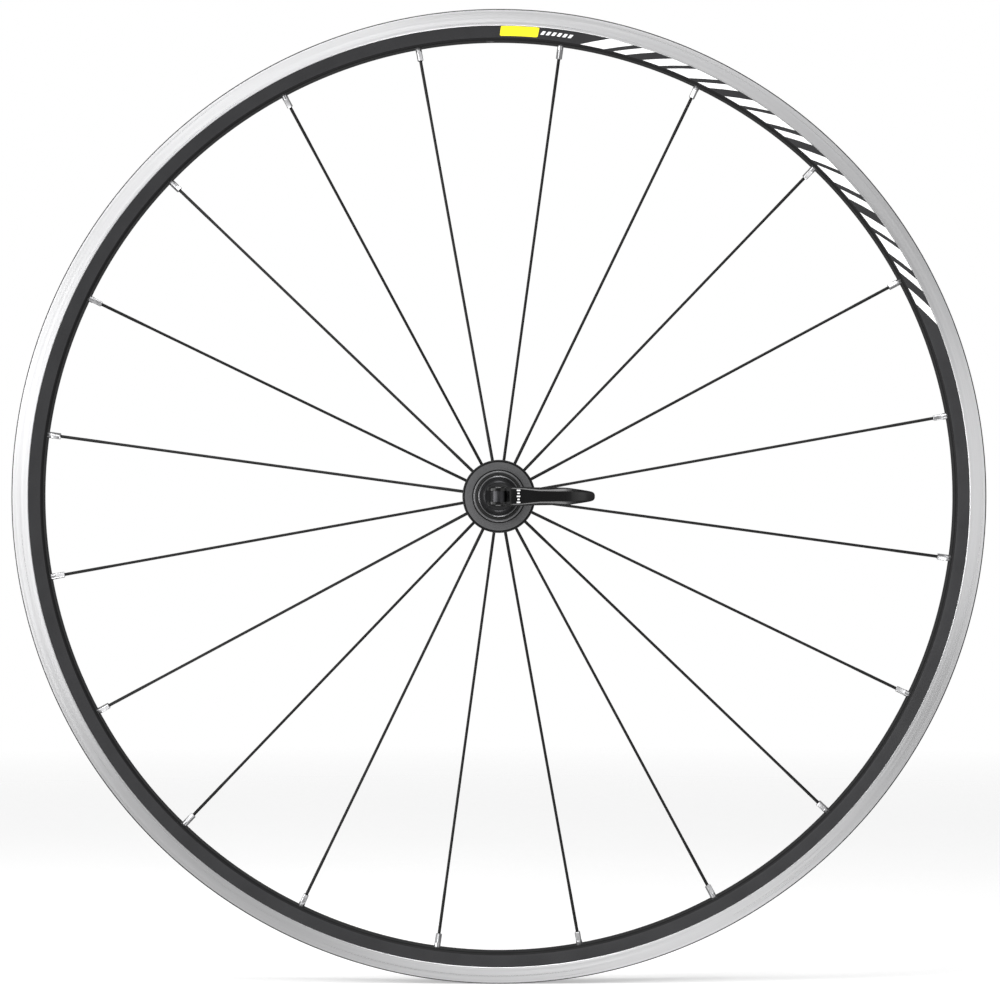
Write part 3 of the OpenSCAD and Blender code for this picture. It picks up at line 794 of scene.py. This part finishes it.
def build_nipples():
    """The nipples of each side in one piece, each turned about its spoke by an angle of its own."""
    nipple = nipple_mesh()
    for side, name in SIDES:
        parts = []
        for i in range(1, SPOKES + 1):
            if spoke_side(i) != side:
                continue
            turn = Matrix.Rotation(math.radians(i * NIPPLE_TURN % 90), 4, "Z")
            lift = Matrix.Translation((0, 0, SPOKE_RUN * MM))
            parts.append(placed("nipple", nipple, spoke_frame(i) @ lift @ turn))
        piece = joined(f"spoke_nipples_{name}", parts)
        shade(piece.data, 28.0)
        finish_piece(piece, "wheel", [f"nipples_{name}"], NIPPLE_METAL)
    bpy.data.objects.remove(nipple)


# ---------------------------------------------------------------- hub

# The flange's two faces, the groove that the spokes' heads lie in, and the bearing's seat
FLANGE_IN = 32.6
FLANGE_OUT = 39.4
GROOVE_IN_R = 16.6
GROOVE_FLOOR = 37.9
BEARING_OUT = 41.5
BEARING_IN = 33.5
BEARING_R = 13

# The barrel, its joint with the flange's spigot, and the waist that runs over both
BARREL_R = 10.5
JOINT_Y = 28.0
SPIGOT_R = 10.2
SPIGOT_L = 5.0
HUB_BORE_R = 8.5
WAIST_STEPS = 8
WAIST = smooth(
    [(BARREL_R, 14), (BARREL_R + 0.6, 21), (14, JOINT_Y), (16.3, FLANGE_IN - 0.4)], WAIST_STEPS)


def barrel_half():
    """The barrel's outline, from its middle over the waist and into the spigot's bore."""
    return [(BARREL_R, 0)] + WAIST[:2 * WAIST_STEPS + 1] + [
        (SPIGOT_R, JOINT_Y), (SPIGOT_R, JOINT_Y - SPIGOT_L), (HUB_BORE_R, JOINT_Y - SPIGOT_L),
        (HUB_BORE_R, 0)]


def flange_outline():
    """One end of the hub, from its joint with the barrel round the flange to its bore."""
    edge_r, seal_r = 0.9, 14.9
    made = WAIST[2 * WAIST_STEPS:]
    made += [(GROOVE_IN_R, FLANGE_IN - 0.2), (GROOVE_IN_R, GROOVE_FLOOR)]
    made += [(HEAD_R, GROOVE_FLOOR), (HEAD_R, FLANGE_IN + 0.15), (HEAD_R + 0.15, FLANGE_IN)]
    made += arc((FLANGE_R - edge_r, FLANGE_IN + edge_r), edge_r, -90, 0, 6)
    made += arc((FLANGE_R - edge_r, FLANGE_OUT - edge_r), edge_r, 0, 90, 6)
    made += [(FLANGE_R - 1.55, FLANGE_OUT), (17.25, FLANGE_OUT), (17.05, FLANGE_OUT - 0.12)]
    made += [(16.95, FLANGE_OUT - 0.55)]
    made += [(16.45, FLANGE_OUT - 0.55), (16.4, BOSS_Y - 0.6), (16.3, BOSS_Y - 0.35)]
    made += [(16.0, BOSS_Y - 0.08), (15.8, BOSS_Y), (15.25, BOSS_Y), (15.05, BOSS_Y - 0.12)]
    made += [(seal_r, BOSS_Y - 0.35), (seal_r, BEARING_OUT)]
    made += [(BEARING_R, BEARING_OUT), (BEARING_R, BEARING_IN)]
    made += [(11.4, BEARING_IN), (11.4, BEARING_IN - 1), (HUB_BORE_R, BEARING_IN - 4)]
    made += [(HUB_BORE_R, JOINT_Y - SPIGOT_L), (SPIGOT_R, JOINT_Y - SPIGOT_L), (SPIGOT_R, JOINT_Y)]
    return made


def slot_cutter(side):
    """The slot that one spoke lies in, round at its floor and open towards the hub's middle."""
    half_width, depth = 1.15, 6.0
    ring = [(x, side * y) for x, y in arc((0, 0), half_width, 0, 180, 12)]
    ring += [(-half_width, -side * depth), (half_width, -side * depth)]
    rings = [[(x, y, z) for x, y in ring] for z in (-0.7, 6.0)]
    return lofted("slot_cutter", rings)


def flange_zone(r, _):
    """Where the flange is painted a glossy near-black as shade: its rounded rim, and the groove ring at
    the foot of its boss.
    """
    return r > FLANGE_R - 1.6 or 16.45 < r < 17.1


def build_hub():
    """The hub's barrel, and its two ends with a slot for each of their spokes."""
    barrel = turned("hub_barrel_body", both_halves(barrel_half()), 256)
    finish_piece(barrel, "wheel", ["hub_barrel"], HUB_GREY)
    for side, name in reversed(SIDES):
        flange = turned(f"hub_flange_body_{name}", on_side(flange_outline(), side), 256)
        cutters = []
        for i in range(1, SPOKES + 1):
            if spoke_side(i) == side:
                tool = slot_cutter(side)
                tool.data.transform(spoke_frame(i))
                cutters.append(tool)
        cut(flange, cutters, 30.0)
        paint_zones(flange.data, (HUB_GREY, HUB_EDGE_SHADE), flange_zone)
        finish_piece(flange, "wheel", [f"hub_flange_{name}"])


def cap_zone(r, y):
    """Where the end cap's chamfered edge is painted a lighter metal grey as a highlight."""
    return r > CAP_R - 0.5 and abs(y) > 44.3


def build_hub_rings():
    """The turned pieces at each end of the hub: retainer, seal and end cap."""
    seal_r, bore = 14.88, 5.0
    retainer = rounded([
        (GROOVE_IN_R + 0.1, FLANGE_IN + 0.1, 0.15), (HEAD_R - 0.15, FLANGE_IN + 0.1, 0.15),
        (HEAD_R - 0.15, FLANGE_IN + 0.85, 0.1), (GROOVE_IN_R + 0.1, FLANGE_IN + 0.85, 0.1)])
    seal = rounded([
        (CAP_R + 0.25, BOSS_Y - 0.5, 0.1), (CAP_R + 0.25, BOSS_Y - 1.0, 0.1),
        (CAP_R + 0.7, BEARING_OUT + 0.1, 0), (seal_r, BEARING_OUT + 0.1, 0),
        (seal_r, BOSS_Y - 0.5, 0.2), (14.2, BOSS_Y - 0.42, 0.1)])
    cap = rounded([
        (bore, BEARING_OUT, 0), (6.8, BEARING_OUT, 0), (6.8, BEARING_OUT + 0.5, 0),
        (CAP_R, BEARING_OUT + 0.5, 0.1), (CAP_R, 44.4, 0.12), (CAP_R - 0.5, 44.9, 0.15),
        (12.2, 45.3, 0.2), (11.9, 45.0, 0.1), (11.6, 45.0, 0.1), (11.3, 45.6, 0.2),
        (9.9, FACE_Y - 0.6, 0.3), (9.3, FACE_Y, 0.2), (bore, FACE_Y, 0.1)])
    for side, name in reversed(SIDES):
        piece = turned(f"spoke_ring_{name}", on_side(retainer, side))
        finish_piece(piece, "wheel", [f"spoke_retainer_{name}"], PLASTIC)
        piece = turned(f"hub_dust_seal_{name}", on_side(seal, side))
        finish_piece(piece, "wheel", [f"hub_seal_{name}"], RUBBER)
        piece = turned(f"axle_cap_{name}", on_side(cap, side))
        paint_zones(piece.data, (CAP_BLACK, CAP_EDGE_HIGHLIGHT), cap_zone)
        finish_piece(piece, "axle", [f"end_cap_{name}"])


def build_axle():
    """The hollow axle, with rounded ends and its bore's mouth broken."""
    body_r, race_r, stub_r, bore_r = 6.25, 5.0, 4.5, 2.75
    half = [(body_r, 0), (body_r, BEARING_IN), (race_r, BEARING_IN), (race_r, FACE_Y)]
    half += [(stub_r, FACE_Y), (stub_r, AXLE_END_Y - 0.45), (4.42, AXLE_END_Y - 0.2)]
    half += [(4.2, AXLE_END_Y - 0.04), (4.0, AXLE_END_Y), (3.0, AXLE_END_Y)]
    half += [(bore_r, AXLE_END_Y - 0.25)]
    axle = turned("hollow_axle", both_halves(half), 128)
    finish_piece(axle, "axle", ["hub_axle"], AXLE_ALLOY)


# ---------------------------------------------------------------- quick release


def at_pivot(x, outboard, z):
    """A point of the lever, from its place about the cam's pivot."""
    return (x, -PIVOT_Y - outboard, z)


CAM_TOP = 8.4
CAM_RISE = 0.0125


def cam_height(a):
    """How far the cam holds the saddle from the pivot, with the lever opened by the angle a in degrees.

    It falls evenly from 0 to 180 degrees, and returns smoothly on the side that presses on nothing.
    """
    if a >= 0:
        return CAM_TOP - CAM_RISE * a
    t = -a / 180
    return CAM_TOP + CAM_RISE * 180 * t - 2 * CAM_RISE * 180 * t * t * (3 - 2 * t)


def cam_points():
    """The cam's outline: the curve that touches the saddle at every angle."""
    step, near = 3, 0.01
    made = []
    for a in range(-180, 180, step):
        slope = (cam_height(a + near) - cam_height(a - near)) / (2 * near) * 180 / math.pi
        s, c = math.sin(math.radians(a)), math.cos(math.radians(a))
        h = cam_height(a)
        made.append((-h * s - slope * c, -h * c + slope * s))
    return made


# The lever seen from the side and from its face, from the pivot out to its tip: how far its outer and
# its inner face stand outboard, and half its width
LEVER_TOP = [
    (-1, 5.6), (4, 5.2), (9, 4.1), (15, 4.0), (24, 4.6), (34, 4.4), (44, 3.2), (52, 1.5),
    (58, -0.5), (LEVER_TIP_X, -1.8)]
LEVER_BOTTOM = [
    (4, -4.0), (10, -2.2), (18, -0.8), (28, 0.0), (38, -0.2), (48, -1.4), (56, -3.0),
    (LEVER_TIP_X, -3.4)]
LEVER_HALF = [
    (-9, 5.7), (0, FORK_OUT), (12, 6.0), (22, 5.75), (34, 5.6), (42, 5.55), (48, 4.85), (54, 3.95),
    (58, 3.2), (60, 2.4), (LEVER_TIP_X, 1.0)]

# Widths along the lever of the bright bevel beside its flat face, and of the steep one outside it
LEVER_BEVEL = [
    (2, 0.4), (8, 0.6), (14, 0.6), (20, 0.8), (32, 1.1), (38, 1.6), (44, 1.8), (56, 0.9), (61, 0.3)]
LEVER_SIDE = [
    (2, 0.3), (8, 0.7), (14, 0.8), (20, 1.1), (26, 1.45), (32, 1.3), (38, 0.9), (44, 0.5), (61, 0.2)]


def lever_paddle():
    """The lever beyond its fork, lofted: a flat outer face between two pairs of bevels."""
    start_x, spans, crowding = 2.5, 60, 1.6  # the sections crowd together towards the tip
    bevel_fall, side_fall = 0.8, 1.8  # how steeply the two bevels fall away
    top, bottom, half = smooth(LEVER_TOP), smooth(LEVER_BOTTOM), smooth(LEVER_HALF)
    rings = []
    for i in range(spans + 1):
        x = start_x + (LEVER_TIP_X - start_x) * (1 - (1 - i / spans) ** crowding)
        y1, y0, w = along(top, x), along(bottom, x), along(half, x)
        thick = y1 - y0
        lower = min(0.8, 0.2 * thick)
        bevel, side = min(0.4 * w, along(LEVER_BEVEL, x)), min(0.3 * w, along(LEVER_SIDE, x))
        drop = min(1, 0.7 * thick / (bevel_fall * bevel + side_fall * side))
        y_bevel = y1 - drop * bevel_fall * bevel
        y_side = y_bevel - drop * side_fall * side
        edge = [(w - lower * 1.3, y0, 0.4), (w, y0 + lower, 0.4), (w, y_side, 0.4),
                (w - side, y_bevel, 0.4), (w - side - bevel, y1, 0.6)]
        section = rounded(edge + [(0, y1 + 0.05, 0)] + [(-z, y, r) for z, y, r in reversed(edge)], 5)
        rings.append([at_pivot(x, y, z) for z, y in section])
    return lofted("lever_paddle", rings, 40.0)


def lever_head():
    """The cam end as a plate with bevelled edges, before the slot and the bore are cut."""
    bevel = ((0.0, 0.72), (0.1, 0.6), (0.78, 0.05), (0.92, 0.0))  # depth below the face, and inset
    levels = [(FORK_OUT - depth, inset) for depth, inset in bevel]
    outline = [Vector(p) for p in cam_points()]
    rings = []
    for z, inset in [(-z, inset) for z, inset in levels] + levels[::-1]:
        ring = []
        for p in outline:
            x, y = p - p.normalized() * inset
            ring.append(at_pivot(x, y, z))
        rings.append(ring)
    return lofted("lever_head", rings, 30.0)


def build_lever():
    """The lever in one solid, slotted into a fork for the saddle and bored for the cam's barrel."""
    slot_half, slot_end_x, bore_r, past = 3.5, 6.8, 5.05, 12
    lever = unite("cam_lever_body", lever_head(), lever_paddle(), 32.0)
    slot = box_cutter((-past, -PIVOT_Y - past, -slot_half), (slot_end_x, -PIVOT_Y + past, slot_half))
    bore = rod_cutter(bore_r, -past, past, 96)
    bore.data.transform(Matrix.Translation((0, -PIVOT_Y * MM, 0)))
    cut(lever, [slot])
    cut(lever, [bore], 32.0)
    finish_piece(lever, "lever", ["cam_lever"], LEVER_BLACK)


def build_lever_mark():
    """A row of five plain bars, long and short by turns, across the lever's outer face."""
    at, count, pitch, half_z, corner = 12.4, 5, 1.9, 0.45, 0.2
    lift, half_t = 0.06, 0.05
    y = along(smooth(LEVER_TOP), at) + lift
    bars = []
    for i in range(count):
        z = -3.8 + pitch * i
        half_x = 1.1 if i % 2 == 0 else 0.7
        ring = rounded([(at - half_x, z - half_z, corner), (at + half_x, z - half_z, corner),
                        (at + half_x, z + half_z, corner), (at - half_x, z + half_z, corner)], 3)
        rings = [[at_pivot(px, y + level, pz) for px, pz in ring] for level in (-half_t, half_t)]
        bars.append(lofted("bar", rings))
    mark = joined("lever_mark", bars)
    paint(mark.data, WHITE_FILM)
    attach(mark, "lever")


def spring_piece(side, name):
    """The conical spring, a smooth round wire from the axle's end to the pocket in its clamp."""
    wire, turns, steps, sides = 0.35, 3.5, 40, 12
    small_r, flare, pocket, gap = 3.4, 2.1, 2.6, 0.05
    y0 = AXLE_END_Y + wire + gap
    y1 = CLAMP_Y + pocket - wire - gap
    rings = []
    count = round(turns * steps)
    for i in range(count + 1):
        t = i / count
        a = 2 * math.pi * turns * t
        r = small_r + flare * t
        centre = Vector((r * math.cos(a), y0 + (y1 - y0) * t, r * math.sin(a)))
        out = Vector((math.cos(a), 0, math.sin(a)))
        up = Vector((0, 1, 0))
        ring = []
        for k in range(sides):
            b = 2 * math.pi * k / sides
            p = centre + wire * (math.cos(b) * out + math.sin(b) * up)
            ring.append((p.x, side * p.y, p.z))
        rings.append(ring)
    spring = lofted(f"conical_spring_{name}", rings, 50.0)
    finish_piece(spring, f"spring_{name}", [f"skewer_spring_{name}"], STEEL)


# ---------------------------------------------------------------- everything in place

build_rim()
build_tape()
for side_sign, side_name in SIDES:
    build_graphics(side_sign, side_name)
build_spokes()
build_nipples()
build_hub()
build_hub_rings()
build_axle()
build_lever()
build_lever_mark()
for side_sign, side_name in SIDES:
    spring_piece(side_sign, side_name)

# The CAD nodes that stay, and their materials
STAYING = {
    # the joint sleeve inside the rim's cavity takes the cavity's painted shade
    "rim_joint_sleeve": RIM_RAW_SHADE, "skewer_rod": STEEL, "cam_barrel": BLACK_STEEL, "cam_saddle": PLASTIC,
    "clamp_cup": BLACK_STEEL, "skewer_nut": LEVER_BLACK, "nut_grip_washer": STEEL,
    "nut_lock_ring": NYLON,
}
BEARING = {
    "outer_race": RACE_STEEL, "inner_race": RACE_STEEL, "balls": RACE_STEEL, "cage": CAGE_BRASS,
    "seals": RUBBER,
}
for _, side_name in SIDES:
    STAYING.update({f"bearing_{side_name}_{name}": material for name, material in BEARING.items()})
for node_name, material in STAYING.items():
    paint(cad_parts[node_name].data, material)


# ---------------------------------------------------------------- studio


def build_stage():
    """A pale floor under the wheel that fades out into the white room all round."""
    rings, steps, radius = 10, 64, 2400
    glow, fade_from, fade_to = 0.42, 0.5, 2.2
    points = [(0, 0, -RIM_R)]
    for i in range(1, rings + 1):
        points += circle(radius * i / rings, -RIM_R, steps)
    faces = [[0, 1 + k, 1 + (k + 1) % steps] for k in range(steps)]
    for i in range(rings - 1):
        for k in range(steps):
            m = (k + 1) % steps
            low, high = 1 + i * steps, 1 + (i + 1) * steps
            faces.append([low + k, high + k, high + m, low + m])
    stage = make("studio_floor", points, faces, 60.0)
    m = Material("pale_floor", (0.8, 0.8, 0.8), 0.9)
    m.set("Emission Color", (1, 1, 1, 1))
    m.set("Emission Strength", glow)
    m.vary_colour(m.noise(m.place(), 3, 3, 0.5), 0.985, 1.015)
    here = m.node("ShaderNodeTexCoord")
    far = m.node("ShaderNodeVectorMath", operation="LENGTH")
    m.link(here.outputs["Object"], far.inputs[0])
    clear = m.node("ShaderNodeBsdfTransparent")
    mix = m.node("ShaderNodeMixShader")
    m.link(m.ramp(far.outputs["Value"], 1.0, 0.0, at=(fade_from, fade_to)), mix.inputs[0])
    m.link(clear.outputs[0], mix.inputs[1])
    m.link(m.shader.outputs[0], mix.inputs[2])
    m.link(mix.outputs[0], m.tree.nodes["Material Output"].inputs["Surface"])
    paint(stage.data, m.material)
    stage.visible_glossy = False
    stage.visible_shadow = False


def area_light(name, place, width, height, power):
    """A rectangle of light that faces the wheel's middle and isn't seen by the camera."""
    middle = Vector((0, 0, 0))
    data = bpy.data.lights.new(name, "AREA")
    data.shape = "RECTANGLE"
    data.size = width
    data.size_y = height
    data.energy = power
    light = linked(name, data)
    light.visible_camera = False
    light.location = place
    light.rotation_euler = (middle - Vector(place)).to_track_quat("-Z", "Y").to_euler()


def build_lights():
    """A white room that shows as pure white, soft boxes in front of the wheel, and strips beside it."""
    room_light = 0.31
    world = bpy.data.worlds.new("studio")
    bpy.context.scene.world = world
    world.use_nodes = True
    tree = world.node_tree
    room = tree.nodes["Background"]
    room.inputs["Color"].default_value = (1, 1, 1, 1)
    room.inputs["Strength"].default_value = room_light
    backdrop = tree.nodes.new("ShaderNodeBackground")
    backdrop.inputs["Color"].default_value = (1, 1, 1, 1)
    seen = tree.nodes.new("ShaderNodeLightPath")
    mix = tree.nodes.new("ShaderNodeMixShader")
    tree.links.new(seen.outputs["Is Camera Ray"], mix.inputs[0])
    tree.links.new(room.outputs[0], mix.inputs[1])
    tree.links.new(backdrop.outputs[0], mix.inputs[2])
    tree.links.new(mix.outputs[0], tree.nodes["World Output"].inputs["Surface"])
    # soft boxes in a ring round the camera, by their clock angle and power
    size, ring_r, ring_y = 1.2, 1.3, -1.2
    boxes = {
        0: 2.4, 30: 3.6, 60: 1.1, 90: 1.3, 150: 5.0, 180: 1.3, 210: 0.8, 240: 2.2, 270: 8.6, 300: 8.0,
        330: 7.4,
    }
    for angle, power in boxes.items():
        a = math.radians(angle)
        place = (ring_r * math.sin(a), ring_y, ring_r * math.cos(a))
        area_light(f"soft_box_{angle}", place, size, size, power)
    # strips beside the wheel, and a small box, that draw the lever's bevels and the rings of the hub
    area_light("strip_above", (0, -0.35, 1.2), width=0.7, height=0.4, power=8)
    area_light("strip_below", (0, -0.35, -1.2), width=0.7, height=0.4, power=7)
    area_light("strip_left", (-1.3, -0.4, 0), width=0.4, height=0.7, power=6)
    area_light("lever_tip_box", (0.9, -1.48, 0), width=0.5, height=0.5, power=0.8)


def build_camera():
    """Square on to the wheel, from the lever's side, with its middle just off the wheel's."""
    distance = 2.3
    frame_width = 0.6532
    middle_x, middle_z = 0.0007, -0.0004
    data = bpy.data.cameras.new("camera")
    data.sensor_width = 36
    data.lens = data.sensor_width * distance / frame_width
    camera = linked("camera", data)
    camera.location = (middle_x, -distance, middle_z)
    camera.rotation_euler = (math.radians(90), 0, 0)
    bpy.context.scene.camera = camera


build_stage()
build_lights()
build_camera()
bpy.context.scene.view_settings.view_transform = "Standard"
